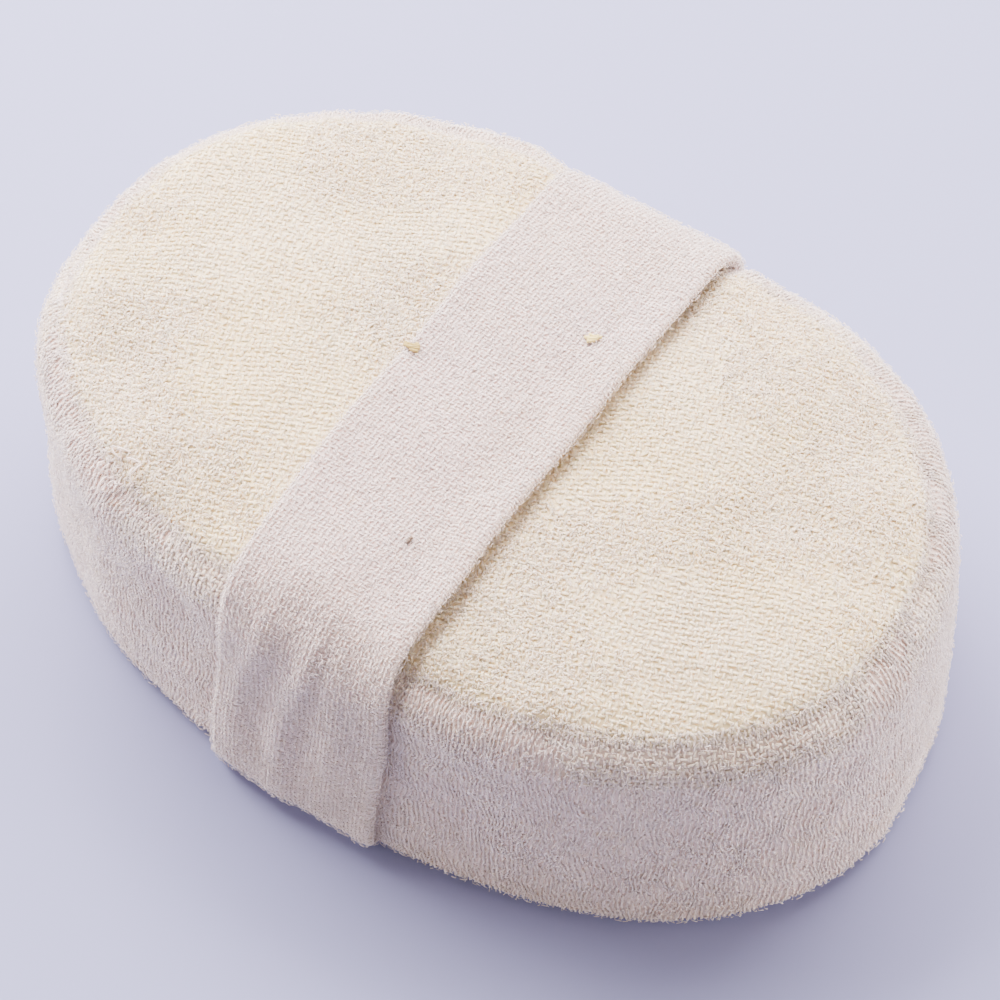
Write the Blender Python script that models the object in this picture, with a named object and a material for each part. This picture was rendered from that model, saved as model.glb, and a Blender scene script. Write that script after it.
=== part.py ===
"""Oval loofah back scrubber, in metres, +Z up.

A foam block is sewn into a terry cover: an oval top panel, a side band round it and a pressed
loofah face underneath.  A hand strap of folded terry crosses the top and runs down both sides
to the bottom seam.  X is the long axis, Y runs along the strap, and z = 0 is the floor that
the loofah face lies on.

Most pieces are a section carried round the oval outline.  A section point is
(inset, height, shrink): how far it lies inside the outline, its height, and how much that
ring is then shrunk towards the middle.
"""

import math

import bmesh
import bpy
from mathutils import Vector

# Driving dimensions
LENGTH = 0.145
WIDTH = 0.097
RIM_HEIGHT = 0.047
CROWN = 0.0015
OUTLINE_POWER = 2.26
WAIST_PINCH = 0.0015
WAIST_SPREAD = 0.022

# Cloth, thread and clearances
CLOTH = 0.0018
GAP = 0.0003
THREAD_RADIUS = 0.0003

# Top seam: the corner between panel and band, as an arc cut by a plane at the seam's angle
CORNER_RADIUS = 0.0105
SEAM_ANGLE = math.radians(50)
ALLOWANCE_REACH = 0.0050
SEAM_SHOULDER = 0.0008

# Bottom seam
HEM_RADIUS = 0.00105
HEM_HEIGHT = 0.0023
ALLOWANCE_TOP = 0.0080
LOOFAH_THICKNESS = 0.0050
LOOFAH_CHAMFER = 0.0016
LOOFAH_INSET = 2 * CLOTH + 0.0007
BOTTOM_THREAD_HEIGHT = 0.00055

# Side band's own join, at the back under the strap
BAND_JOIN_WIDTH = 0.0012

# Hand strap
STRAP_WIDTH = 0.029
STRAP_LEAN = -0.0052
STRAP_THICKNESS = 0.0020
STRAP_CLEARANCE = 0.0010
STRAP_FOOT = 0.0014
STRAP_SPLIT_ANGLE = math.radians(40)

# Mesh fineness
OUTLINE_STEPS = 60
CORNER_STEPS = 3
DOME_SHRINKS = (0.8, 0.55, 0.25)
SHARP_ANGLE = math.radians(40)


def clear_scene():
    for old in list(bpy.data.objects):
        bpy.data.objects.remove(old)


def material(name, colour, roughness):
    made = bpy.data.materials.new(name)
    made.use_nodes = True
    shader = made.node_tree.nodes["Principled BSDF"]
    shader.inputs["Base Color"].default_value = (*colour, 1.0)
    shader.inputs["Roughness"].default_value = roughness
    shader.inputs["Metallic"].default_value = 0.0
    return made


# ---------------------------------------------------------------- the oval

def outline_point(turn):
    """The superellipse, pulled in a little at the waist where the strap is tight."""
    c = math.cos(turn)
    s = math.sin(turn)
    power = 2 / OUTLINE_POWER
    x = math.copysign(abs(c) ** power * LENGTH / 2, c)
    y = math.copysign(abs(s) ** power * WIDTH / 2, s)
    pinch = WAIST_PINCH * math.exp(-((x / WAIST_SPREAD) ** 2)) * math.sin(turn) ** 2
    return Vector((x, y - math.copysign(pinch, s), 0))


def outline_ring(turns, inset, height, shrink):
    ring = []
    step = 0.01
    for turn in turns:
        along = outline_point(turn + step) - outline_point(turn - step)
        inwards = Vector((-along.y, along.x, 0)).normalized()
        point = (outline_point(turn) + inwards * inset) * shrink
        ring.append(Vector((point.x, point.y, height)))
    return ring


def full_turns():
    """Angles round the whole outline.  Half a step off the axes, where the power is awkward."""
    return [math.tau * (k + 0.5) / OUTLINE_STEPS for k in range(OUTLINE_STEPS)]


def skin_object(name, rings, finish, wrap_rings, wrap_sections):
    """One closed surface through rings of equal length.

    wrap_rings joins each ring's last point to its first; wrap_sections joins the last ring to
    the first.  An end that doesn't wrap is closed with one flat face.
    """
    shape = bmesh.new()
    grid = [[shape.verts.new(point) for point in ring] for ring in rings]
    across = len(grid[0])
    ring_pairs = list(zip(grid, grid[1:]))
    if wrap_sections:
        ring_pairs.append((grid[-1], grid[0]))
    for first, second in ring_pairs:
        for k in range(across if wrap_rings else across - 1):
            after = (k + 1) % across
            shape.faces.new((first[k], first[after], second[after], second[k]))
    if not wrap_sections:
        shape.faces.new(grid[0])
        shape.faces.new(grid[-1])
    if not wrap_rings:
        shape.faces.new([ring[0] for ring in grid])
        shape.faces.new([ring[-1] for ring in grid])
    bmesh.ops.recalc_face_normals(shape, faces=shape.faces)
    mesh = bpy.data.meshes.new(name)
    shape.to_mesh(mesh)
    shape.free()
    mesh.shade_smooth()
    mesh.set_sharp_from_angle(angle=SHARP_ANGLE)
    mesh.materials.append(finish)
    return place(bpy.data.objects.new(name, mesh))


def place(obj):
    collection = bpy.data.collections.get("loofah_back_scrubber")
    if collection is None:
        collection = bpy.data.collections.new("loofah_back_scrubber")
        bpy.context.scene.collection.children.link(collection)
    collection.objects.link(obj)
    return obj


# ---------------------------------------------------------------- sections

def corner_point(radius, angle, sideways=0.0):
    """(inset, height) near the top corner, in polar form about the corner's centre.

    sideways moves the point off the radial line, positive towards the top panel.
    """
    inset = CORNER_RADIUS - radius * math.cos(angle) + sideways * math.sin(angle)
    height = RIM_HEIGHT - CORNER_RADIUS + radius * math.sin(angle) + sideways * math.cos(angle)
    return inset, height


def corner_arc(radius, start, end):
    return [
        corner_point(radius, start + (end - start) * k / CORNER_STEPS)
        for k in range(CORNER_STEPS + 1)
    ]


def thickened(line):
    """The closed section of a cloth whose middle follows the line, (inset, height) pairs."""
    points = [Vector((inset, height)) for inset, height in line]
    sides = ([], [])
    for k, point in enumerate(points):
        before = points[max(k - 1, 0)]
        after = points[min(k + 1, len(points) - 1)]
        into = (point - before).normalized() if k else (after - point).normalized()
        out = (after - point).normalized() if k < len(points) - 1 else into
        across = Vector((-into.y - out.y, into.x + out.x)).normalized()
        stretch = 1 / max(across.dot(Vector((-into.y, into.x))), 0.5)
        offset = across * (CLOTH / 2 * stretch)
        sides[0].append(point + offset)
        sides[1].append(point - offset)
    return sides[0] + sides[1][::-1]


def half_seam():
    """From the seam's plane to the middle of the cloth turned in beside it."""
    return (GAP + CLOTH) / 2


def shoulder_angle():
    """How far short of the seam's plane a cloth begins to turn in."""
    return (half_seam() + SEAM_SHOULDER) / (CORNER_RADIUS - CLOTH / 2)


def band_line():
    """The side band's middle: allowance, hem, wall, corner and allowance at the top seam."""
    middle = CLOTH / 2
    hem_centre = middle + HEM_RADIUS
    hem = [
        (hem_centre + HEM_RADIUS * math.cos(a), HEM_HEIGHT - HEM_RADIUS * math.sin(a))
        for a in (0.0, math.pi / 4, math.pi / 2, 3 * math.pi / 4, math.pi)
    ]
    radius = CORNER_RADIUS - middle
    corner = corner_arc(radius, 0.0, SEAM_ANGLE - shoulder_angle())
    turn_in = corner_point(radius - SEAM_SHOULDER, SEAM_ANGLE, -half_seam())
    tip = corner_point(ALLOWANCE_REACH, SEAM_ANGLE, -half_seam())
    return [(hem[0][0], ALLOWANCE_TOP)] + hem + corner + [turn_in, tip]


def panel_rim_line():
    """The top panel's middle at its rim: allowance, corner, and where the flat top begins."""
    radius = CORNER_RADIUS - CLOTH / 2
    tip = corner_point(ALLOWANCE_REACH, SEAM_ANGLE, half_seam())
    turn_in = corner_point(radius - SEAM_SHOULDER, SEAM_ANGLE, half_seam())
    corner = corner_arc(radius, SEAM_ANGLE + shoulder_angle(), math.pi / 2)
    return [tip, turn_in] + corner


def crown_height(shrink):
    return CROWN * (1 - shrink * shrink)


def dome(inset, height):
    """Section points from the rim of the flat top to the middle, which is a little higher."""
    return [(inset, height + crown_height(s), s) for s in DOME_SHRINKS]


# ---------------------------------------------------------------- pieces sewn round the oval

def oval_object(name, section, finish):
    """A solid with an oval lid at each end of its section."""
    rings = [outline_ring(full_turns(), *point) for point in section]
    return skin_object(name, rings, finish, True, False)


def foam_core(finish):
    """The block that fills the cover, with a notch round its top edge for the turned-in cloth."""
    side = CLOTH + GAP
    beside_allowance = CLOTH + 2 * HEM_RADIUS + 2 * GAP
    notch = corner_point(ALLOWANCE_REACH - 2 * GAP, SEAM_ANGLE)
    shelf_inset = CORNER_RADIUS + CLOTH
    shelf = RIM_HEIGHT - CLOTH - 2 * GAP
    section = [
        (beside_allowance, LOOFAH_THICKNESS + GAP, 1),
        (beside_allowance, ALLOWANCE_TOP + GAP, 1),
        (side, ALLOWANCE_TOP + CLOTH, 1),
        (side, RIM_HEIGHT - CORNER_RADIUS - 2 * GAP, 1),
        (*notch, 1),
        (shelf_inset, shelf, 1),
    ]
    return oval_object("foam_core", section + dome(shelf_inset, shelf), finish)


def loofah_face(finish):
    """The pressed loofah, cut to the oval, with its lower edge rounded off."""
    section = [
        (LOOFAH_INSET + LOOFAH_CHAMFER, 0.0, 1),
        (LOOFAH_INSET, LOOFAH_CHAMFER, 1),
        (LOOFAH_INSET, LOOFAH_THICKNESS - GAP, 1),
        (LOOFAH_INSET + GAP, LOOFAH_THICKNESS, 1),
    ]
    return oval_object("loofah_face", section, finish)


def top_panel(finish):
    """The oval of terry on top, its edge turned down inside the seam."""
    loop = thickened(panel_rim_line())
    half = len(loop) // 2
    outer = dome(loop[half - 1].x, loop[half - 1].y)
    inner = dome(loop[half].x, loop[half].y)
    rim = [(p.x, p.y, 1) for p in loop]
    section = outer[::-1] + rim[:half][::-1] + rim[half:][::-1] + inner
    return oval_object("top_panel", section, finish)


def side_band(finish):
    """The strip of terry round the side, open at the back where its two ends are joined."""
    loop = [(point.x, point.y, 1) for point in thickened(band_line())]
    half_join = (BAND_JOIN_WIDTH / LENGTH) ** (OUTLINE_POWER / 2)
    first = math.pi / 2 + half_join
    turns = [
        first + (math.tau - 2 * half_join) * k / OUTLINE_STEPS for k in range(OUTLINE_STEPS + 1)
    ]
    rings = [outline_ring(turns, *point) for point in loop]
    return skin_object("side_band", rings, finish, False, True)


def thread(name, points, cyclic, finish):
    """A seam's thread, run together into one cord through these points."""
    curve = bpy.data.curves.new(name, "CURVE")
    curve.dimensions = "3D"
    curve.bevel_depth = THREAD_RADIUS
    curve.bevel_resolution = 1
    curve.use_fill_caps = not cyclic
    line = curve.splines.new("POLY")
    line.points.add(len(points) - 1)
    for knot, point in zip(line.points, points):
        knot.co = (*point, 1)
    line.use_cyclic_u = cyclic
    curve.materials.append(finish)
    return place(bpy.data.objects.new(name, curve))


def top_seam_thread(finish):
    inset, height = corner_point(CORNER_RADIUS - THREAD_RADIUS, SEAM_ANGLE)
    return thread("top_seam_thread", outline_ring(full_turns(), inset, height, 1), True, finish)


def bottom_seam_thread(finish):
    ring = outline_ring(full_turns(), LOOFAH_INSET, BOTTOM_THREAD_HEIGHT, 1)
    return thread("bottom_seam_thread", ring, True, finish)


def band_join_thread(finish):
    """The upright seam that joins the side band's ends."""
    middle = outline_point(math.pi / 2).y - CLOTH / 2
    ends = (HEM_HEIGHT + CLOTH, RIM_HEIGHT - CORNER_RADIUS)
    return thread("band_join_thread", [(0, middle, z) for z in ends], False, finish)


# ---------------------------------------------------------------- hand strap

def strap_corner(clearance, angle):
    """(y, z) over the cover's front corner, this clear of its surface."""
    inset, height = corner_point(CORNER_RADIUS + clearance, angle)
    return Vector((outline_point(-math.pi / 2).y + inset, height))


def leg_side(clearance):
    """One face of the front leg, from its foot in the bottom seam to the shoulder."""
    corner = [
        strap_corner(clearance, STRAP_SPLIT_ANGLE * k / CORNER_STEPS)
        for k in range(CORNER_STEPS + 1)
    ]
    return [Vector((corner[0].x, STRAP_FOOT))] + corner


def span_side(clearance):
    """One face of the span, from the front shoulder over the crown to the back shoulder."""
    split = STRAP_SPLIT_ANGLE + GAP / CORNER_RADIUS
    line = [
        strap_corner(clearance, split + (math.pi / 2 - split) * k / CORNER_STEPS)
        for k in range(CORNER_STEPS + 1)
    ]
    edge = line[-1].x
    for shrink in DOME_SHRINKS:
        height = RIM_HEIGHT + clearance + crown_height(shrink)
        line.append(Vector((edge * shrink, height)))
    return line + mirrored(line)


def mirrored(line):
    """The same stretch at the back, in the order that carries on from it."""
    return [Vector((-point.x, point.y)) for point in reversed(line)]


def strap_piece(name, side_view, finish, lean=0.0):
    """A stretch of the strap, as its side view across the strap's width.

    lean is how far its lowest points are pushed along X.
    """
    top = max(point.y for point in side_view)
    low = min(point.y for point in side_view)
    rings = []
    for edge in (-STRAP_WIDTH / 2, STRAP_WIDTH / 2):
        ring = []
        for y, z in side_view:
            ring.append(Vector((edge + lean * (top - z) / (top - low), y, z)))
        rings.append(ring)
    return skin_object(name, rings, finish, wrap_rings=True, wrap_sections=False)


def hand_strap(finish):
    """The strap in three stretches: only the span lifts, and the legs stretch after it.

    The front leg is sewn in a little askew, so it leans along the oval.
    """
    inner = STRAP_CLEARANCE
    outer = STRAP_CLEARANCE + STRAP_THICKNESS
    leg = leg_side(inner) + leg_side(outer)[::-1]
    strap_piece("strap_front_leg", leg, finish, STRAP_LEAN)
    strap_piece("strap_back_leg", mirrored(leg), finish)
    strap_piece("strap_span", span_side(inner) + span_side(outer)[::-1], finish)


def strap_seam_thread(finish):
    """The seam that closes the folded strap, along the middle of its underside."""
    route = [
        (0, point.x, point.y)
        for point in span_side(STRAP_CLEARANCE / 2)
        if point.y > RIM_HEIGHT
    ]
    return thread("strap_seam_thread", route, False, finish)


def main():
    clear_scene()
    cream_terry = material("cream_terry", (0.86, 0.79, 0.67), 0.95)
    band_terry = material("band_terry", (0.84, 0.78, 0.70), 0.95)
    strap_terry = material("strap_terry", (0.87, 0.81, 0.75), 0.95)
    loofah = material("loofah_fibre", (0.74, 0.62, 0.38), 0.80)
    foam = material("foam", (0.90, 0.86, 0.70), 0.90)
    cotton = material("cotton_thread", (0.85, 0.80, 0.70), 0.70)
    foam_core(foam)
    loofah_face(loofah)
    top_panel(cream_terry)
    side_band(band_terry)
    top_seam_thread(cotton)
    bottom_seam_thread(cotton)
    band_join_thread(cotton)
    hand_strap(strap_terry)
    strap_seam_thread(cotton)


main()
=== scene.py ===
"""Looks of the oval loofah back scrubber: terry cover, hand strap, stitching and loofah face.

The frame gives the hard sizes.  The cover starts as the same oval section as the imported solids,
a little inside them, and is then swollen by cloth simulation.  Its pile of yarn loops is real
geometry that stands on the swollen cloth.  Metres, +Z up, X along the oval, Y along the strap.
"""

import math

import bmesh
import bpy
import numpy as np
from mathutils import Matrix, Vector
from mathutils.bvhtree import BVHTree


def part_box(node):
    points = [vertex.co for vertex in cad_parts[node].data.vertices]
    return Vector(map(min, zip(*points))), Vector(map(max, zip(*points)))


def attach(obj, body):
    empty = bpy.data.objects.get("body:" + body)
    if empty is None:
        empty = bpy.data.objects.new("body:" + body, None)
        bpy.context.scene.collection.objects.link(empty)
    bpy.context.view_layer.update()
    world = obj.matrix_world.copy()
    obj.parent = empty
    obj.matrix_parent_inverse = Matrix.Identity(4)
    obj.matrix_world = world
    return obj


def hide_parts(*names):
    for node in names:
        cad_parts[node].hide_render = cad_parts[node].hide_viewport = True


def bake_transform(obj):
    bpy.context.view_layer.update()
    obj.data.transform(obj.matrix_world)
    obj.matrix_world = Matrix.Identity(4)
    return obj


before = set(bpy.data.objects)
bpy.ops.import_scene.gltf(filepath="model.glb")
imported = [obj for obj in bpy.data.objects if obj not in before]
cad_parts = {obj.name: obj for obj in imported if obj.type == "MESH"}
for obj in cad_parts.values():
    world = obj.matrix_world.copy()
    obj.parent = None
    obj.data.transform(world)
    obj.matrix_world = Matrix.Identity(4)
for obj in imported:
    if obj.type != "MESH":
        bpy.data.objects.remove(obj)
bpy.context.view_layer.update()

MM = 0.001

# The oval and its section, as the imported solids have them
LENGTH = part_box("side_band")[1][0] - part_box("side_band")[0][0]
WIDTH = 97 * MM
OUTLINE_POWER = 2.26
WAIST_PINCH = 1.6 * MM
FAR_WAIST_PINCH = 2.4 * MM
WAIST_SPREAD = 22 * MM
RIM_HEIGHT = 47 * MM
CROWN = 1.5 * MM
CORNER_RADIUS = 10.5 * MM
SEAM_ANGLE = math.radians(50)
HEM_RADIUS = 1.95 * MM
HEM_HEIGHT = 2.3 * MM
HEM_ROWS = 6
LOOFAH_LOW, LOOFAH_HIGH = (Vector(corner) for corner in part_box("loofah_face"))

# Cloth.  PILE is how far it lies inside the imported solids, SWELL the most that it swells
PILE = 0.7 * MM
CLOTH = 0.9 * MM
SWELL = 1.1 * MM
SWELL_FRAMES = 20
SEAM_GROOVE = 0.55 * MM
SEAM_GROOVE_WIDTH = 1.5 * MM
PUCKER_REACH = 4 * MM
# The cover's unevenness: (wavelength, height)
SWELLINGS = (34 * MM, 0.35 * MM)
PUCKERS = (7 * MM, 0.25 * MM)
RIPPLES = (11 * MM, 0.10 * MM)
# How far the strap squeezes its far and its front shoulder in, and the crease at its right edge
FAR_DENT, FRONT_DENT = 1.5 * MM, 0.5 * MM
CREASE = 0.8 * MM
CREASE_WIDTH = 1.3 * MM

# Pile.  A loop is (yarn radius, span, height), a lattice is (pitch across, pitch up), and
# KNIT_SHAKE is the spread of the arcs' size, turn and lean
KNIT_LOOP = (0.235 * MM, 1.04 * MM, 0.12 * MM)
KNIT_PITCH = 0.85 * MM
KNIT_TURN = math.radians(20)
KNIT_SHAKE = (0.20, 0.22, 0.10)
PATCH_LOOP = (0.13 * MM, 0.66 * MM, 0.38 * MM)
PATCH_LATTICE = (0.58 * MM, 0.60 * MM)
PATCH_SHARE = 0.85
BAND_LOOP = (0.19 * MM, 0.82 * MM, 0.28 * MM)
BAND_LATTICE = (0.72 * MM, 0.55 * MM)
STRAP_LOOP = (0.18 * MM, 0.84 * MM, 0.17 * MM)
PULLED_LOOP = (0.13 * MM, 2.0 * MM, 1.3 * MM)
PULLED_LOOPS = 16
PULLED_REACH = 3.2 * MM
FUZZ_SHARE = 1.0
FUZZ_RADIUS = 0.045 * MM
FUZZ_LIFT = 0.3 * MM
FUZZ_PITCH = 0.70 * MM
BAND_FUZZ_PITCH = 0.82 * MM
FUZZ_JITTER = 0.3 * MM
# How the rows of loops wander: (wavelength, distance)
KNIT_WANDER = (30 * MM, 0.9 * MM)
BAND_WANDER = (9 * MM, 0.55 * MM)
BAND_SHIVER = (4 * MM, 0.2 * MM)
STRAP_WANDER = (22 * MM, 0.5 * MM)
# How far the side's pile goes over the seam, and how far below it the ground can show
RIM_PILE = 1.7 * MM
SEAM_KNIT = 7 * MM
# The pile ends this far above the resting plane, and the floor lies as far below it
FLOOR_GAP = 0.05 * MM

# Hand strap
SPAN_LOW, SPAN_HIGH = (Vector(corner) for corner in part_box("strap_span"))
STRAP_MIDDLE = (SPAN_LOW.x + SPAN_HIGH.x) / 2
STRAP_WIDTH = SPAN_HIGH.x - SPAN_LOW.x
STRAP_CLOTH = 1.5 * MM
STRAP_CLEARANCE = 0.9 * MM
STRAP_STEP = 0.8 * MM
STRAP_FOOT = 1.4 * MM
STRAP_TUCK = 2.6 * MM
STRAP_FLARE = 0.8 * MM
STRAP_EDGE = 0.045
STRAP_LEAN = -3.3 * MM
STRAP_LEG = 38 * MM
STRAP_KNIT = (0.76 * MM, 0.62 * MM)
STRAP_SWAYS = (24 * MM, 0.28 * MM)
STRAP_RIPPLES = (9 * MM, 0.10 * MM)
# Where it turns over the pad's shoulders, from its front and from its far foot
STRAP_SHOULDER = 46 * MM
FAR_SHOULDER = 48 * MM
STRAP_TOP_COLUMNS = 34
STRAP_UNDER_COLUMNS = 16
STRAP_EDGE_COLUMNS = 5

# Where the side stands out further: the angle round the oval, the half width and how far, in
# degrees and millimetres
FULL_PLACES = ((-20, 28, 1.3), (52, 13, 1.7), (115, 15, 1.4), (74, 9, -0.9))

# Worn places of the cover, in millimetres, with their radii, and where a few loops are pulled
WORN_PLACES = (((-19, -43.5, 42.5), 8 * MM), ((45, -34, 43), 9 * MM))
LOOSE_YARN = np.array([-39, -37, 44.5]) * MM

# Pleats of the strap: the middle and half width, as shares of its half width, and the height
FRONT_PLEATS = ((-0.74, 0.15, 1.0), (-0.16, 0.14, 1.3), (0.42, 0.19, 0.8))
BACK_PLEATS = ((-0.3, 0.15, 0.6), (0.25, 0.13, 0.5))

# Stitches of thread: (length, radius), and how many go round the oval
TOP_STITCH = (2.4 * MM, 0.28 * MM)
BOTTOM_STITCH = (2.3 * MM, 0.26 * MM)
STRAP_STITCH = (2.1 * MM, 0.2 * MM)
RIM_STITCHES = 128
TOP_STITCH_DEPTH = 2.3 * MM
LOOFAH_STITCH_INSET = 1.3 * MM
LOOFAH_STITCH_HEIGHT = 0.95 * MM
JOIN_STITCH_PITCH = 3 * MM
STRAP_STITCH_PITCH = 2.9 * MM

# The loofah's fibres: their ranges of length, radius and height above the floor, and how far
# they keep from its edge
FIBRE_LENGTHS = (8 * MM, 26 * MM)
FIBRE_RADII = (0.10 * MM, 0.28 * MM)
FIBRE_LEVELS = (0.35 * MM, 1.5 * MM)
NET_MARGIN = 1.2 * MM

# Stray fibres: their radius, and how sharply they curl, in radians for each metre
STRAY_RADIUS = 0.27 * MM
STRAY_CURL = 300

# Noise scales of the materials: patches of yarn, single yarns, spun cotton and plant fibre
PATCH_NOISE = 55.0
YARN_NOISE = 420.0
COTTON_NOISE = 9000.0
STRAW_NOISE = 5000.0
FIBRE_BUMP = 0.05 * MM

# Mesh fineness
COLUMNS = 150
REFINE = 3
LOOFAH_COLUMNS = 240
LOOFAH_FIBRES = 1500
FOAM_COLUMNS = 120
MOST_TRIANGLES = 190_000

# How many plane waves a smooth field adds up
WAVES = 7

dice = np.random.default_rng(405)


# ------ arrays and meshes

def unit(vectors):
    return vectors / np.maximum(np.linalg.norm(vectors, axis=-1, keepdims=True), 1e-12)


def smoothstep(low, high, value):
    t = np.clip((value - low) / (high - low), 0, 1)
    return t * t * (3 - 2 * t)


def waves(points, wavelength, seed):
    """A smooth field of about -1 to 1 that varies over this wavelength in every direction."""
    source = np.random.default_rng(seed)
    directions = unit(source.normal(size=(WAVES, 3)))
    directions *= math.tau / wavelength * source.uniform(0.7, 1.4, (WAVES, 1))
    phases = source.uniform(0, math.tau, WAVES)
    return np.sin(points @ directions.T + phases).sum(axis=-1) / math.sqrt(WAVES)


def unevenness(points, size, seed):
    """Smooth waves of this size, (wavelength, height)."""
    wavelength, height = size
    return waves(points, wavelength, seed) * height


def mesh_object(name, points, faces, material):
    """An object from (n, 3) points and faces that all have the same number of corners."""
    points = np.asarray(points, np.float32).reshape(-1, 3)
    faces = np.asarray(faces, np.int32)
    count, corners = faces.shape
    mesh = bpy.data.meshes.new(name)
    mesh.vertices.add(len(points))
    mesh.vertices.foreach_set("co", points.ravel())
    mesh.loops.add(count * corners)
    mesh.loops.foreach_set("vertex_index", faces.ravel())
    mesh.polygons.add(count)
    mesh.polygons.foreach_set("loop_start", np.arange(0, count * corners, corners, dtype=np.int32))
    mesh.update(calc_edges=True)
    mesh.shade_smooth()
    mesh.materials.append(material)
    made = bpy.data.objects.new(name, mesh)
    bpy.context.scene.collection.objects.link(made)
    return made


def grid_faces(rows, columns):
    """Four-sided faces of a grid that wraps along its columns."""
    row, column = np.meshgrid(np.arange(rows - 1), np.arange(columns), indexing="ij")
    after = (column + 1) % columns
    corners = [row * columns + column, row * columns + after]
    corners += [(row + 1) * columns + after, (row + 1) * columns + column]
    return np.stack(corners, axis=-1).reshape(-1, 4)


def tube_faces(rings, sides, flipped=False):
    """Triangles of a tube made of rings of points, with its two ends closed."""
    quads = grid_faces(rings, sides)
    corner = np.arange(1, sides - 1)
    start = np.stack([0 * corner, corner + 1, corner], axis=-1)
    ends = np.concatenate([start, start[:, [0, 2, 1]] + (rings - 1) * sides])
    if flipped:
        quads, ends = quads[:, ::-1], ends[:, [0, 2, 1]]
    return np.concatenate([quads[:, [0, 1, 2]], quads[:, [0, 2, 3]], ends])


def cap(obj, *rings, outwards=True):
    """Closes an object's open ends, each with one face through a range of its points."""
    shape = bmesh.new()
    shape.from_mesh(obj.data)
    shape.verts.ensure_lookup_table()
    for corners in rings:
        shape.faces.new([shape.verts[k] for k in corners])
    if outwards:
        bmesh.ops.recalc_face_normals(shape, faces=shape.faces)
    shape.to_mesh(obj.data)
    shape.free()


def grid_ends(rows, columns):
    """Point numbers of a grid's first row, backwards, and of its last row."""
    return range(columns)[::-1], range((rows - 1) * columns, rows * columns)


def solid_grid(name, grid, material):
    """A closed object from a grid that wraps along its columns."""
    rows, columns, _ = grid.shape
    made = mesh_object(name, grid, grid_faces(rows, columns), material)
    cap(made, *grid_ends(rows, columns))
    return made


def refined(grid, factor):
    """A finer copy of a grid that wraps along its columns, through cubic curves both ways."""
    for axis, wraps in ((0, False), (1, True)):
        count = grid.shape[axis]
        steps = count * factor if wraps else (count - 1) * factor + 1
        at = np.arange(steps) / factor
        whole = np.floor(at).astype(int)
        t = (at - whole).reshape((-1, 1, 1) if axis == 0 else (1, -1, 1))
        near = []
        for shift in (-1, 0, 1, 2):
            index = whole + shift
            index = index % count if wraps else np.clip(index, 0, count - 1)
            near.append(np.take(grid, index, axis=axis))
        a, b, c, d = near
        grid = b + t * ((c - a) + t * ((2 * a - 5 * b + 4 * c - d) + t * (3 * (b - c) + d - a))) / 2
    return grid


def grid_frames(grid):
    """Unit directions at every point of a grid: along its columns, along its rows, outwards."""
    around = unit(np.roll(grid, -1, axis=1) - np.roll(grid, 1, axis=1))
    up = unit(np.gradient(grid, axis=0))
    return around, up, unit(np.cross(around, up))


def running(steps):
    """Lengths along a line from its first point, given its steps."""
    return np.concatenate([[0], np.cumsum(steps)])


def grid_lengths(grid):
    """Lengths round the grid's middle row and up its columns."""
    row = grid[len(grid) // 2]
    return (
        running(np.linalg.norm(np.roll(row, -1, axis=0) - row, axis=-1)),
        running(np.linalg.norm(np.diff(grid, axis=0), axis=-1).mean(axis=1)),
    )


def on_grid(grid, places):
    """Points and directions (around, up, out) at places given in lengths round and up."""
    run, climb = grid_lengths(grid)
    columns = np.interp(places[:, 0] % run[-1], run, np.arange(len(run)))
    rows = np.interp(places[:, 1], climb, np.arange(len(climb)))
    roots = sampled(grid, rows, columns)
    return (roots, *(unit(sampled(field, rows, columns)) for field in grid_frames(grid)))


def sampled(grid, rows, columns):
    """Values of a grid that wraps along its columns at fractional places."""
    row = np.clip(np.floor(rows).astype(int), 0, len(grid) - 2)
    column = np.floor(columns).astype(int)
    s = (rows - row)[:, None]
    t = (columns - column)[:, None]
    column %= grid.shape[1]
    after = (column + 1) % grid.shape[1]
    low = grid[row, column] * (1 - t) + grid[row, after] * t
    high = grid[row + 1, column] * (1 - t) + grid[row + 1, after] * t
    return low * (1 - s) + high * s


# ------ the oval's section

def outline(turns):
    """The superellipse, pulled in at the waist, most at the far side, where the strap is tight."""
    c, s = np.cos(turns), np.sin(turns)
    power = 2 / OUTLINE_POWER
    x = np.sign(c) * np.abs(c) ** power * LENGTH / 2
    y = np.sign(s) * np.abs(s) ** power * WIDTH / 2
    depth = np.where(s > 0, FAR_WAIST_PINCH, WAIST_PINCH)
    pinch = depth * np.exp(-(((x - STRAP_MIDDLE) / WAIST_SPREAD) ** 2)) * s * s
    return np.stack([x, y - np.sign(s) * pinch, 0 * x], axis=-1)


def ring(turns, inset, height, shrink=1.0):
    step = 0.01
    along = outline(turns + step) - outline(turns - step)
    inwards = unit(np.stack([-along[:, 1], along[:, 0], 0 * turns], axis=-1))
    points = (outline(turns) + inwards * inset) * shrink
    points[:, 2] = height
    return points


def corner(radius, angle):
    """(inset, height) on an arc about the top corner's centre."""
    return (
        CORNER_RADIUS - radius * math.cos(angle),
        RIM_HEIGHT - CORNER_RADIUS + radius * math.sin(angle),
    )


def top_arc(first, last):
    """The cloth's section from one angle to another over the top corner."""
    return [(*corner(CORNER_RADIUS - PILE, a), 1) for a in np.linspace(first, last, 6)]


def band_section():
    """(inset, height, shrink) of the side band's cloth, from inside the hem to the top seam."""
    radius = HEM_RADIUS - PILE
    hem = [
        (HEM_RADIUS + radius * math.cos(a), HEM_HEIGHT - radius * math.sin(a), 1)
        for a in np.linspace(-0.6, math.pi, HEM_ROWS + 1)
    ]
    top = RIM_HEIGHT - CORNER_RADIUS
    wall = [(PILE, height, 1) for height in np.linspace(HEM_HEIGHT, top, 15)[1:]]
    return hem + wall + top_arc(0, SEAM_ANGLE)[1:]


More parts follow.
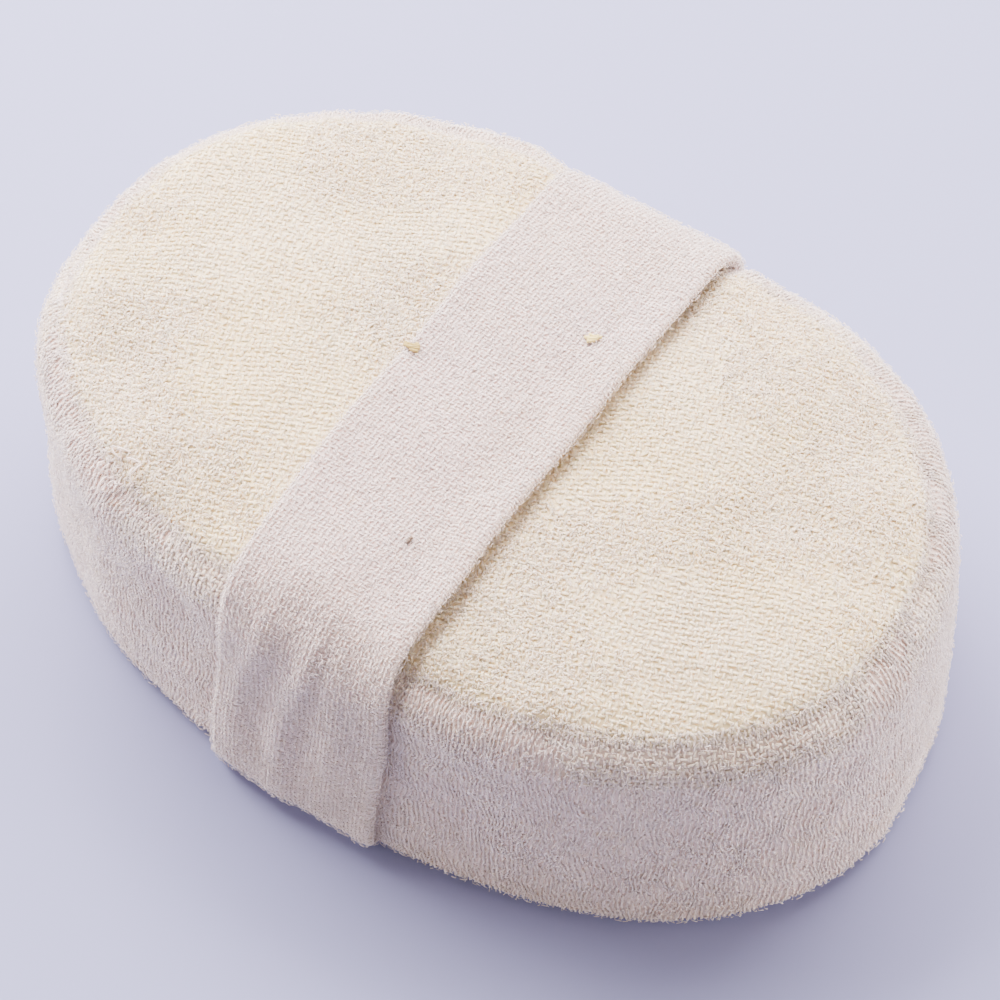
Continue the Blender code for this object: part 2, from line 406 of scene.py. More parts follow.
def panel_section():
    """The top panel's, from the seam to near the middle."""
    arc = top_arc(SEAM_ANGLE, math.pi / 2)
    inset, height, _ = arc[-1]
    shrinks = np.linspace(1, 0.03, 17)[1:]
    return arc + [(inset, height + CROWN * (1 - s * s), s) for s in shrinks]


def section_grid(section, columns):
    turns = math.tau * (np.arange(columns) + 0.5) / columns
    return np.stack([ring(turns, *point) for point in section])


# ------ the cover's shape

def swollen(grid, pinned_rows):
    """The cover blown out against its seams by cloth simulation, as the foam inside does it."""
    rows, columns, _ = grid.shape
    faces = grid_faces(rows, columns)
    work = mesh_object("cover_simulation", grid, faces, None)
    inner, middle = grid_ends(rows, columns)
    cap(work, middle, inner, outwards=False)
    pins = work.vertex_groups.new(name="pins")
    for row, weight in pinned_rows.items():
        pins.add(list(range(row * columns, (row + 1) * columns)), weight, "REPLACE")
    cloth = work.modifiers.new("cloth", "CLOTH")
    cloth.settings.quality = 6
    cloth.settings.mass = 0.2
    cloth.settings.tension_stiffness = 20
    cloth.settings.compression_stiffness = 20
    cloth.settings.bending_stiffness = 0.8
    cloth.settings.vertex_group_mass = "pins"
    cloth.settings.use_pressure = True
    cloth.settings.uniform_pressure_force = 4
    cloth.settings.effector_weights.gravity = 0
    cloth.collision_settings.use_collision = False
    scene = bpy.context.scene
    for step in range(1, SWELL_FRAMES + 1):
        scene.frame_set(step)
    graph = bpy.context.evaluated_depsgraph_get()
    result = work.evaluated_get(graph).to_mesh()
    moved = np.empty(len(result.vertices) * 3, np.float32)
    result.vertices.foreach_get("co", moved)
    scene.frame_set(1)
    mesh = work.data
    bpy.data.objects.remove(work)
    bpy.data.meshes.remove(mesh)
    shift = moved.reshape(-1, 3)[: rows * columns].reshape(grid.shape) - grid
    length = np.linalg.norm(shift, axis=-1, keepdims=True)
    return grid + shift * SWELL / (SWELL + length)


def cover_grid():
    """The whole cover's cloth, fine, with the top seam pulled in: (grid, the seam's row)."""
    band, panel = band_section(), panel_section()
    grid = section_grid(band + panel[1:], COLUMNS)
    seam = len(band) - 1
    _, _, out = grid_frames(grid)
    grid += out * unevenness(grid, SWELLINGS, 3)[..., None]
    grid = swollen(grid, {0: 1.0, 1: 1.0, 2: 1.0, seam: 0.97})
    grid = refined(grid, REFINE)
    seam *= REFINE
    _, _, out = grid_frames(grid)
    step = np.linalg.norm(np.diff(grid, axis=0), axis=-1).mean(axis=1)
    from_seam = running(step)
    from_seam = (from_seam - from_seam[seam])[:, None]
    groove = SEAM_GROOVE * np.exp(-((from_seam / SEAM_GROOVE_WIDTH) ** 2))
    groove = groove * (1 + 0.4 * waves(grid, 40 * MM, 9))
    pucker = unevenness(grid * [1, 1, 0.2], PUCKERS, 8) * np.exp(-np.abs(from_seam) / PUCKER_REACH)
    ripple = unevenness(grid, RIPPLES, 5)
    full = fullness(grid, out)
    dent = strap_dent(grid)
    outside = smoothstep(0, HEM_ROWS * REFINE, np.arange(len(grid)))[:, None]
    grid[..., 1] += unpinched(grid) * outside
    grid += out * (pucker - groove + ripple - dent)[..., None] + full
    return grid, seam


def fullness(points, out):
    """How the filling pushes the side out unevenly, as vectors."""
    x, y, z = points[..., 0], points[..., 1], points[..., 2]
    angle = np.degrees(np.arctan2(y / WIDTH, x / LENGTH))
    most = 0.7 * smoothstep(26 * MM, 8 * MM, z) * smoothstep(10 * MM, -10 * MM, y)
    for middle, wide, high in FULL_PLACES:
        turn = (angle - middle + 180) % 360 - 180
        most = most + high * np.exp(-((turn / wide) ** 2))
    return out * [1, 1, 0] * (most * MM)[..., None]


def unpinched(points):
    """Gives the waist back near the floor, where the strap doesn't pull it in."""
    x, y, z = points[..., 0], points[..., 1], points[..., 2]
    depth = np.where(y > 0, FAR_WAIST_PINCH, WAIST_PINCH)
    near = np.exp(-(((x - STRAP_MIDDLE) / WAIST_SPREAD) ** 2)) * (2 * y / WIDTH) ** 2
    return np.sign(y) * depth * near * smoothstep(30 * MM, 6 * MM, z)


def strap_dent(points):
    """How far the strap squeezes the cover in, with the crease beside its loose edge."""
    x, y, z = points[..., 0], points[..., 1], points[..., 2]
    half = STRAP_WIDTH / 2
    under = smoothstep(half + 4 * MM, half - 3 * MM, np.abs(x - STRAP_MIDDLE))
    shoulder = smoothstep(20 * MM, 36 * MM, z) * smoothstep(16 * MM, 38 * MM, np.abs(y))
    beside = np.exp(-(((x - STRAP_MIDDLE - half - 0.5 * MM) / CREASE_WIDTH) ** 2))
    crease = CREASE * beside * smoothstep(38 * MM, 44 * MM, z)
    return under * shoulder * np.where(y > 0, FAR_DENT, FRONT_DENT) + crease


# ------ the hand strap's shape

def strap_path():
    """(y, z) and outward (y, z) of the strap's middle from front foot to back, and its run."""
    sides = []
    for side, pinch, flare in ((-1, WAIST_PINCH, STRAP_FLARE), (1, FAR_WAIST_PINCH, 0)):
        edge = WIDTH / 2 - pinch
        wall = edge + STRAP_CLEARANCE
        radius = CORNER_RADIUS + STRAP_CLEARANCE
        points = [
            (wall - STRAP_TUCK * (1 - math.cos(a)), STRAP_FOOT + STRAP_TUCK * (1 - math.sin(a)))
            for a in np.linspace(math.radians(70), 0, 5)
        ]
        top = RIM_HEIGHT - CORNER_RADIUS
        points += [(wall, z) for z in np.linspace(points[-1][1], top, 18)[1:]]
        points += [
            (edge - CORNER_RADIUS + radius * math.cos(a), top + radius * math.sin(a))
            for a in np.linspace(0, math.pi / 2, 12)[1:]
        ]
        rim = edge - CORNER_RADIUS
        points += [
            (rim * s, RIM_HEIGHT + STRAP_CLEARANCE + CROWN * (1 - s * s))
            for s in np.linspace(1, 0, 14)[1:]
        ]
        points = np.array(points)
        points[:, 0] += (pinch + flare) * smoothstep(30 * MM, 6 * MM, points[:, 1])
        points[:, 0] *= side
        sides.append(points)
    line = np.concatenate([sides[0], sides[1][-2::-1]])
    length = running(np.linalg.norm(np.diff(line, axis=0), axis=1))
    even = np.linspace(0, length[-1], int(length[-1] / STRAP_STEP))
    path = np.stack([np.interp(even, length, line[:, k]) for k in (0, 1)], axis=-1)
    for _ in range(6):
        path[1:-1] = (path[:-2] + 2 * path[1:-1] + path[2:]) / 4
    along = unit(np.gradient(path, axis=0))
    return path, np.stack([-along[:, 1], along[:, 0]], axis=-1), even


def strap_section():
    """(across from -1 to 1, rise from -1 to 1) round the flat tube, top side first."""
    edge = STRAP_EDGE
    top = [(w, 1.0) for w in np.linspace(edge - 1, 1 - edge, STRAP_TOP_COLUMNS)]
    turns = np.linspace(0, math.pi, STRAP_EDGE_COLUMNS + 2)[1:-1]
    right = [(1 - edge + edge * math.sin(a), math.cos(a)) for a in turns]
    under = [(w, -1.0) for w in np.linspace(1 - edge, edge - 1, STRAP_UNDER_COLUMNS)]
    left = [(-w, -rise) for w, rise in right]
    return np.array(top + right + under + left)


def bumps(value, ridges):
    """A sum of soft ridges, each (middle, half width, height)."""
    return sum(high * np.exp(-(((value - middle) / wide) ** 2)) for middle, wide, high in ridges)


def over_shoulder(run):
    """1 where the strap turns over the pad's front shoulder, 0 away from it."""
    return np.exp(-(((run - STRAP_SHOULDER) / (9 * MM)) ** 2))


def strap_x(across, run, total):
    """The strap's points along X: it leans, narrows at its ends, and its edges wander."""
    lean = STRAP_LEAN * np.clip(1 - run / STRAP_LEG, 0, 1)
    back = smoothstep(total - 42 * MM, total - 4 * MM, run)
    foot = smoothstep(30 * MM, 4 * MM, run)
    half = STRAP_WIDTH / 2 * (1.02 - 0.035 * over_shoulder(run) - 0.08 * back - 0.03 * foot)
    wander = 0.30 * MM * np.sin(run / (13 * MM)) + 0.15 * MM * np.sin(run / (4.7 * MM) + 1)
    return STRAP_MIDDLE + lean + across * half + wander * across**2


def strap_relief(across, run, total):
    """How far the strap stands off its path: its pleats, loose edges and tight far shoulder."""
    back = smoothstep(total - 42 * MM, total - 4 * MM, run)
    front = smoothstep(54 * MM, 32 * MM, run)
    drift = across - 0.30 * smoothstep(20 * MM, 46 * MM, run) * (across < 0.25)
    pleats = bumps(drift, FRONT_PLEATS)
    pleats = pleats * front * (0.15 + 0.85 * smoothstep(4 * MM, 24 * MM, run))
    pleats += bumps(across, BACK_PLEATS) * back
    span = smoothstep(34 * MM, 60 * MM, run) * smoothstep(total - 40 * MM, total - 55 * MM, run)
    loose = 0.30 * smoothstep(total - 40 * MM, total - 70 * MM, run) + 0.70 * span
    lifted = 1.3 * smoothstep(0.45, 1.0, across) * loose
    lifted += 0.25 * smoothstep(-0.6, -1.0, across) * span
    tight = 1.3 * np.exp(-(((run - total + FAR_SHOULDER) / (15 * MM)) ** 2))
    tight = tight + 0.4 * over_shoulder(run)
    return (pleats * 0.85 + lifted - tight) * MM


def strap_grid():
    """Rows along the strap, columns round its section."""
    path, out, run = strap_path()
    total = run[-1]
    section = strap_section()
    across, rise = section[:, 0][None, :], section[:, 1][None, :]
    run = run[:, None]
    x = strap_x(across, run, total)
    y, z = path[:, :1], path[:, 1:]
    thick = STRAP_CLOTH / 2 * (1 + 0.10 * np.abs(across) ** 8)
    place = np.stack(np.broadcast_arrays(x, y, z), axis=-1)
    curve = np.abs(2 * x / LENGTH) ** OUTLINE_POWER * WIDTH / 2 / OUTLINE_POWER
    place[..., 1] -= np.sign(y) * curve * smoothstep(RIM_HEIGHT, RIM_HEIGHT - 8 * MM, z)
    sway = unevenness(place, STRAP_SWAYS, 21) + unevenness(place, STRAP_RIPPLES, 22)
    relief = strap_relief(across, run, total)
    height = rise * thick + relief + np.maximum(sway, -0.25 * MM)
    place[..., 1] += out[:, :1] * height
    place[..., 2] += out[:, 1:] * height
    return place


# ------ pile

def loop_template(turns, sides, radius, span, height, end=1.12):
    """A yarn loop as a closed tube, feet in the cloth: (points, triangles).

    end is how far round it goes, in half turns.  Below 0.8 it is a loose fibre with a free end.
    """
    t = np.linspace(-0.12, end, turns + 1) * math.pi
    x = np.cos(t) * span / 2 * (0.75 + 0.25 * np.sin(t).clip(0))
    z = np.sin(t) * height
    line = np.stack([x, 0 * x, z], axis=-1)
    along = unit(np.gradient(line, axis=0))
    side = np.array([0.0, 1.0, 0.0])
    other = np.cross(along, side)
    spin = math.tau * (np.arange(sides) + 0.5) / sides
    rings = (
        line[:, None]
        + radius * np.cos(spin)[None, :, None] * side
        + radius * np.sin(spin)[None, :, None] * other[:, None]
    )
    return rings.reshape(-1, 3), tube_faces(turns + 1, sides)


def pile(name, material, roots, out, along, template, lean, vary, twist, tip):
    """One loop on each root, in pieces of neighbouring loops small enough to export.

    lean is how far each loop's top is pushed over, as a vector, and tip adds to it at random.
    vary is the spread of its size and twist of its turn.
    """
    points, triangles = template
    count = len(roots)
    turn = dice.normal(0, twist, count)[:, None]
    along = unit(along - out * (along * out).sum(-1, keepdims=True))
    side = np.cross(out, along)
    a = along * np.cos(turn) + side * np.sin(turn)
    b = np.cross(out, a)
    size = 1 + vary * dice.uniform(-1, 1, (count, 3))
    top = out * size[:, 2:] + lean + dice.normal(0, tip, (count, 3))
    placed = (
        roots[:, None]
        + points[None, :, :1] * (a * size[:, :1])[:, None]
        + points[None, :, 1:2] * (b * size[:, 1:2])[:, None]
        + points[None, :, 2:] * top[:, None]
    )
    placed[..., 2] = np.maximum(placed[..., 2], FLOOR_GAP)
    parts = math.ceil(count * len(triangles) / MOST_TRIANGLES)
    order = np.argsort(roots[:, 0])
    made = []
    for number, mine in enumerate(np.array_split(order, parts), 1):
        faces = triangles[None] + (np.arange(len(mine)) * len(points))[:, None, None]
        made.append(mesh_object(f"{name}_{number}", placed[mine], faces.reshape(-1, 3), material))
    return made


def lattice(width, height, across, up, jitter, brick=0.5):
    """Places in rows, shaken a little: (places, whether each is an odd one of its grid)."""
    rows = np.arange(0, height, up)
    columns = np.arange(0, width, across)
    v, u = np.meshgrid(rows, columns, indexing="ij")
    j, i = np.meshgrid(np.arange(len(rows)), np.arange(len(columns)), indexing="ij")
    u = u + (j % 2) * across * brick
    places = np.stack([u.ravel(), v.ravel()], axis=-1)
    return places + dice.normal(0, jitter, places.shape), ((i + j) % 2 == 1).ravel()


def kept(roots, chance):
    """Picks each root with its own chance."""
    return dice.uniform(0, 1, len(roots)) < chance


def bare(roots):
    """0 where the cover's pile stands thick, 1 where its knitted ground shows."""
    worn = smoothstep(-0.5, 0.6, waves(roots, 30 * MM, 91))
    for place, radius in WORN_PLACES:
        away = np.linalg.norm(roots - np.array(place) * MM, axis=-1)
        worn = np.maximum(worn, np.exp(-((away / radius) ** 4)))
    return worn


def band_pile(grid, seam, yarn, ground):
    """The side's loops, in upright wavy rows, and the knit that shows where they are worn."""
    run, climb = grid_lengths(grid)
    edge = climb[seam]
    places, _ = lattice(run[-1], edge + RIM_PILE, *BAND_LATTICE, 0.07 * MM, 0)
    rough = on_grid(grid, places)[0]
    places[:, 0] += unevenness(rough, BAND_WANDER, 33) + unevenness(rough, BAND_SHIVER, 34)
    roots, around, up, out = on_grid(grid, places)
    below = edge - places[:, 1]
    reach = SEAM_KNIT * (0.75 + 0.25 * waves(roots, 12 * MM, 35))
    thin = smoothstep(reach, 0.4 * reach, below) * smoothstep(0.3 * MM, 1.0 * MM, np.abs(below))
    mine = kept(roots, 1 - thin * 0.85 * bare(roots) ** 2)
    roots, around, up, out = (field[mine] for field in (roots, around, up, out))
    hang = smoothstep(0, 8 * MM, places[mine, 1])[:, None]
    lean = -up * 0.22 * hang + around * 0.30 * waves(roots, 15 * MM, 32)[:, None]
    template = loop_template(4, 3, *BAND_LOOP)
    made = pile("side_band_pile", yarn, roots, out, up, template, lean, 0.2, 0.24, 0.10)
    places, odd = lattice(run[-1], SEAM_KNIT + RIM_PILE, KNIT_PITCH, KNIT_PITCH, 0.05 * MM, 0)
    places[:, 1] += edge - SEAM_KNIT
    roots, around, up, out = on_grid(grid, places)
    mine = kept(roots, smoothstep(0.15, 0.5, bare(roots)))
    roots, around, up, out, odd = (field[mine] for field in (roots, around, up, out, odd))
    knit = np.where(odd[:, None], around, up)
    return made + knit_pile("seam_knit", ground, roots, out, knit)


def knit_pile(name, ground, roots, out, along):
    """Short arcs of yarn, each over the one that it crosses."""
    template = loop_template(4, 4, *KNIT_LOOP)
    return pile(name, ground, roots, out, along, template, 0, *KNIT_SHAKE)


def panel_hits(panel, places):
    """(roots, out, which) where upright lines through these places meet the top panel."""
    tree = BVHTree.FromObject(panel, bpy.context.evaluated_depsgraph_get())
    half = np.array([LENGTH, WIDTH]) / 2 - CORNER_RADIUS + CORNER_RADIUS * math.cos(SEAM_ANGLE)
    inside = (np.abs(places / half) ** OUTLINE_POWER).sum(axis=1) < 1
    roots, out, which = [], [], []
    for k in np.flatnonzero(inside):
        point, normal, _, _ = tree.ray_cast(Vector((*places[k], 0.1)), Vector((0, 0, -1)))
        if point is not None:
            roots.append(point)
            out.append(normal)
            which.append(k)
    return np.array(roots), np.array(out), np.array(which)


def turned(places, angle):
    c, s = math.cos(angle), math.sin(angle)
    return places @ np.array([[c, s], [-s, c]])


def panel_pile(panel, yarn, ground):
    """The top's open knit, and the patches where its short pile still covers it."""
    span = LENGTH * 1.1
    places, odd = lattice(span, span, KNIT_PITCH, KNIT_PITCH, 0.08 * MM, 0)
    places = turned(places - span / 2, KNIT_TURN)
    flat = np.concatenate([places, np.zeros((len(places), 1))], axis=1)
    for axis, seed in ((0, 44), (1, 45)):
        places[:, axis] += unevenness(flat, KNIT_WANDER, seed)
    roots, out, which = panel_hits(panel, places)
    weft = np.array([math.cos(KNIT_TURN), math.sin(KNIT_TURN), 0])
    warp = np.array([-math.sin(KNIT_TURN), math.cos(KNIT_TURN), 0])
    knit = np.where(odd[which][:, None], weft, warp)
    made = knit_pile("top_panel_knit", ground, roots, out, knit)
    places, _ = lattice(span, span, *PATCH_LATTICE, 0.10 * MM)
    roots, out, which = panel_hits(panel, turned(places - span / 2, KNIT_TURN))
    mine = kept(roots, PATCH_SHARE * (1 - bare(roots)))
    roots, out = roots[mine], out[mine]
    template = loop_template(4, 3, *PATCH_LOOP)
    sways = [waves(roots, 14 * MM, seed) for seed in (42, 43)]
    lean = 0.3 * np.stack([*sways, 0 * roots[:, 0]], axis=-1)
    warps = np.broadcast_to(warp, roots.shape)
    return made + pile("top_panel_pile", yarn, roots, out, warps, template, lean, 0.3, 0.9, 0.2)


def strap_pile(grid, yarn):
    """The strap's finer knit, all round it, in ribs across."""
    run, climb = grid_lengths(grid)
    places, odd = lattice(run[-1], climb[-1], *STRAP_KNIT, 0.04 * MM, 0)
    rough = on_grid(grid, places)[0]
    places[:, 1] += unevenness(rough, STRAP_WANDER, 52)
    roots, around, up, out = on_grid(grid, places)
    template = loop_template(4, 3, *STRAP_LOOP)
    knit = np.where(odd[:, None], around, up * 0.9 + around * 0.1)
    return pile("hand_strap_knit", yarn, roots, out, knit, template, 0, 0.22, 0.26, 0.12)


def loose_yarn(grid, yarn):
    """A few pulled loops by the top seam."""
    _, _, out = grid_frames(grid)
    near = np.linalg.norm(grid - LOOSE_YARN, axis=-1) < PULLED_REACH
    picked = dice.choice(np.flatnonzero(near.ravel()), PULLED_LOOPS, replace=False)
    roots, out = grid.reshape(-1, 3)[picked], out.reshape(-1, 3)[picked]
    template = loop_template(8, 5, *PULLED_LOOP, 0.95)
    along = dice.normal(size=roots.shape)
    return pile("pulled_loops", yarn, roots, out, along, template, 0, 0.4, 0.8, 0.25)


def fuzz(name, roots, out, material, length=1.4 * MM, rise=0.36 * MM):
    """Loose cotton fibres that stand off the yarn, one on a share of the roots."""
    mine = kept(roots, FUZZ_SHARE)
    roots, out = roots[mine], out[mine]
    along = dice.normal(size=roots.shape)
    template = loop_template(2, 3, FUZZ_RADIUS, length, rise, 0.62)
    return pile(name, material, roots + out * FUZZ_LIFT, out, along, template, 0, 0.45, 0, 0.30)


def grid_fuzz(name, grid, height, pitch, material, *size):
    """Loose fibres all round a grid, up to this height on it."""
    run, _ = grid_lengths(grid)
    places, _ = lattice(run[-1], height, pitch, pitch, FUZZ_JITTER)
    roots, _, _, out = on_grid(grid, places)
    return fuzz(name, roots, out, material, *size)


# ------ materials

def shader(name):
    """A new material: (material, its node tree, its Principled node)."""
    made = bpy.data.materials.new(name)
    made.use_nodes = True
    return made, made.node_tree, made.node_tree.nodes["Principled BSDF"]


def noise(tree, scale, detail=3.0):
    coordinates = tree.nodes.new("ShaderNodeTexCoord")
    texture = tree.nodes.new("ShaderNodeTexNoise")
    texture.inputs["Scale"].default_value = scale
    texture.inputs["Detail"].default_value = detail
    tree.links.new(coordinates.outputs["Object"], texture.inputs["Vector"])
    return texture.outputs["Fac"]


def mixed(tree, factor, low, high, first, second):
    """Goes from the first colour to the second as the factor goes from low to high."""
    ramp = tree.nodes.new("ShaderNodeMapRange")
    ramp.inputs["From Min"].default_value = low
    ramp.inputs["From Max"].default_value = high
    tree.links.new(factor, ramp.inputs["Value"])
    mix = tree.nodes.new("ShaderNodeMix")
    mix.data_type = "RGBA"
    tree.links.new(ramp.outputs["Result"], mix.inputs["Factor"])
    for socket, colour in ((mix.inputs["A"], first), (mix.inputs["B"], second)):
        if isinstance(colour, tuple):
            socket.default_value = (*colour, 1)
        else:
            tree.links.new(colour, socket)
    return mix.outputs["Result"]


def bump(tree, target, height, strength, distance):
    made = tree.nodes.new("ShaderNodeBump")
    made.inputs["Strength"].default_value = strength
    made.inputs["Distance"].default_value = distance
    tree.links.new(height, made.inputs["Height"])
    tree.links.new(made.outputs["Normal"], target.inputs["Normal"])


def terry(name, pale, warm, stain):
    """Cotton loop yarn: pale, with warm patches, single warmer yarns and spun-fibre bump."""
    made, tree, yarn = shader(name)
    base = mixed(tree, noise(tree, PATCH_NOISE, 2.0), 0.38, 0.64, pale, warm)
    flecked = mixed(tree, noise(tree, YARN_NOISE, 2.0), 0.60, 0.78, base, stain)
    tree.links.new(flecked, yarn.inputs["Base Color"])
    yarn.inputs["Roughness"].default_value = 0.95
    yarn.inputs["Specular IOR Level"].default_value = 0.15
    yarn.inputs["Subsurface Weight"].default_value = 0.75
    yarn.inputs["Subsurface Radius"].default_value = (1.0, 0.9, 0.8)
    yarn.inputs["Subsurface Scale"].default_value = 1.1 * MM
    yarn.inputs["Sheen Weight"].default_value = 0.2
    yarn.inputs["Sheen Roughness"].default_value = 0.6
    bump(tree, yarn, noise(tree, COTTON_NOISE), 0.4, FIBRE_BUMP)
    return made


def fibre(name, first, second, scale, roughness=0.7):
    made, tree, strand = shader(name)
    colour = mixed(tree, noise(tree, scale), 0.35, 0.65, first, second)
    tree.links.new(colour, strand.inputs["Base Color"])
    strand.inputs["Roughness"].default_value = roughness
    strand.inputs["Specular IOR Level"].default_value = 0.3
    bump(tree, strand, noise(tree, STRAW_NOISE), 0.4, FIBRE_BUMP)
    return made


# ------ pieces

def thickened(obj, thickness):
    """Gives a sheet its thickness, inwards."""
    solid = obj.modifiers.new("thickness", "SOLIDIFY")
    solid.thickness = thickness
    solid.offset = -1


def tubes(name, lines, radii, sides, material):
    """Closed round tubes along lines of points, all in one mesh."""
    points, faces, start = [], [], 0
    for line, radius in zip(lines, radii):
        along = unit(np.gradient(line, axis=0))
        reference = np.array([0.0, 0.0, 1.0])
        if abs(along[0, 2]) > 0.9:
            reference = np.array([1.0, 0.0, 0.0])
        side = unit(np.cross(along, reference))
        other = np.cross(along, side)
        spin = math.tau * np.arange(sides) / sides
        cosine, sine = np.cos(spin)[None, :, None], np.sin(spin)[None, :, None]
        rings = line[:, None] + radius * (cosine * side[:, None] + sine * other[:, None])
        points.append(rings.reshape(-1, 3))
        faces.append(tube_faces(len(line), sides, flipped=True) + start)
        start += len(points[-1])
    return mesh_object(name, np.concatenate(points), np.concatenate(faces), material)


def stitches(name, centres, along, across, length, radius, material):
    """A row of short stitches, each a bead of thread that dips into the cloth at its ends."""
    lines = []
    t = np.linspace(-1, 1, 7)[:, None]
    for centre, a, n in zip(centres, along, across):
        lines.append(centre + a * t * length / 2 + n * (1 - t * t) * radius * 1.6)
    return tubes(name, lines, [radius] * len(lines), 6, material)


def loofah_face(material, net_material):
    """The pressed loofah: a matted slab with its network of fibres standing out underneath."""
    half = (LOOFAH_HIGH - LOOFAH_LOW) / 2
    inset = LENGTH / 2 - half.x
    thick = LOOFAH_HIGH.z
    section = [(inset + 3 * MM, thick, s) for s in np.linspace(0.05, 1, 6)]
    section += [(inset + 0.4 * MM, thick - 0.6 * MM, 1), (inset, thick - 1.6 * MM, 1)]
    section += [(inset + 0.3 * MM, 2.0 * MM, 1), (inset + 1.6 * MM, 1.2 * MM, 1)]
    top_rows = len(section) - 1
    section += [(inset + 1.6 * MM, 1.2 * MM, s) for s in np.linspace(0.97, 0.05, 34)]
    grid = section_grid(section, LOOFAH_COLUMNS)
    under = np.arange(len(section)) >= top_rows
    grid[under, :, 2] += (waves(grid[under], 3.2 * MM, 61) * 0.35 * MM).clip(-0.5 * MM, 0.9 * MM)
    return solid_grid("loofah_mat", grid, material), loofah_net(net_material, half)


def loofah_net(material, half):
    """Curved fibres along, across and at random, all just clear of the floor."""
    source = np.random.default_rng(77)
    lines, radii = [], []
    reach_x, reach_y = half.x - NET_MARGIN, half.y - NET_MARGIN
    for k in range(LOOFAH_FIBRES):
        angle = source.normal(0, 0.35)
        if k % 3 == 1:
            angle += math.pi / 2
        elif k % 3 == 2:
            angle += source.uniform(0, 3.1)
        length = source.uniform(*FIBRE_LENGTHS)
        start = np.array([source.uniform(-1, 1) * half.x, source.uniform(-1, 1) * half.y])
        bend = source.normal(0, 0.5)
        t = np.linspace(-0.5, 0.5, 9)
        heading = angle + bend * t
        step = length / 8
        x = start[0] + np.cumsum(np.cos(heading)) * step
        y = start[1] + np.cumsum(np.sin(heading)) * step
        radius = source.uniform(*FIBRE_RADII)
        inside = np.abs(x / reach_x) ** 2.2 + np.abs(y / reach_y) ** 2.2 < 1
        if inside.sum() < 4:
            continue
        x, y = x[inside], y[inside]
        level = source.uniform(*FIBRE_LEVELS)
        z = level + 0.35 * MM * np.sin(np.linspace(0, source.uniform(2, 9), len(x)) + k)
        lines.append(np.stack([x, y, np.maximum(z, radius + 0.02 * MM)], axis=-1))
        radii.append(radius)
    return tubes("loofah_fibres", lines, radii, 5, material)


def foam_block(material):
    """The foam inside the cover, slightly uneven as cut foam is."""
    low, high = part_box("foam_core")
    inset = LENGTH / 2 - high[0]
    base = low[2] + 0.1 * MM
    section = [(inset + 4 * MM, base, s) for s in (0.05, 0.3, 0.6, 0.85)]
    section += [(inset + 2.6 * MM, base, 1), (inset + 2.4 * MM, low[2] + 3 * MM, 1)]
    section += [(inset + 0.8 * MM, z, 1) for z in np.linspace(12 * MM, 34 * MM, 9)]
    section += [(inset + 2.5 * MM, 38 * MM, 1), (inset + 6.2 * MM, 41.5 * MM, 1)]
    top = inset + 9.5 * MM
    section += [(top, 43.0 * MM, 1)]
    section += [(top, 43.4 * MM + CROWN * (1 - s * s), s) for s in (0.85, 0.6, 0.3, 0.05)]
    grid = section_grid(section, FOAM_COLUMNS)
    grid += (waves(grid, 6 * MM, 71) * 0.12 * MM)[..., None] * unit(grid - [0, 0, 0.024])
    return solid_grid("foam_block", grid, material)


# ------ build

def build_cover(yarn, ground, band_yarn, band_ground):
    grid, seam = cover_grid()
    rows, columns, _ = grid.shape
    faces = grid_faces(seam + 1, columns)
    band = mesh_object("side_band_cloth", grid[: seam + 1], faces, band_yarn)
    faces = grid_faces(rows - seam, columns)
    panel = mesh_object("top_panel_cloth", grid[seam:], faces, ground)
    _, middle = grid_ends(rows - seam, columns)
    cap(panel, middle, outwards=False)
    panel.data.shade_smooth()
    band_loops = band_pile(grid, seam, band_yarn, band_ground)
    panel_loops = panel_pile(panel, yarn, ground)
    band_loops += loose_yarn(grid, band_yarn)
    for cloth, node, loops, slot in (
        (band, "side_band", band_loops, "band_terry"),
        (panel, "top_panel", panel_loops, "cream_terry"),
    ):
        thickened(cloth, CLOTH)
        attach(cloth, "scrubber")
        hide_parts(node)
        for piece in loops:
            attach(piece, "scrubber")
    build_cover_fuzz(grid, seam, panel, yarn, band_yarn)


def build_cover_fuzz(grid, seam, panel, yarn, band_yarn):
    _, climb = grid_lengths(grid)
    loose = grid_fuzz("side_band_fuzz", grid, climb[seam] + RIM_PILE, BAND_FUZZ_PITCH, band_yarn)
    places, _ = lattice(LENGTH, WIDTH, FUZZ_PITCH, FUZZ_PITCH, FUZZ_JITTER)
    roots, out, _ = panel_hits(panel, places - np.array([LENGTH, WIDTH]) / 2)
    loose += fuzz("top_panel_fuzz", roots, out, yarn)
    for piece in loose:
        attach(piece, "scrubber")


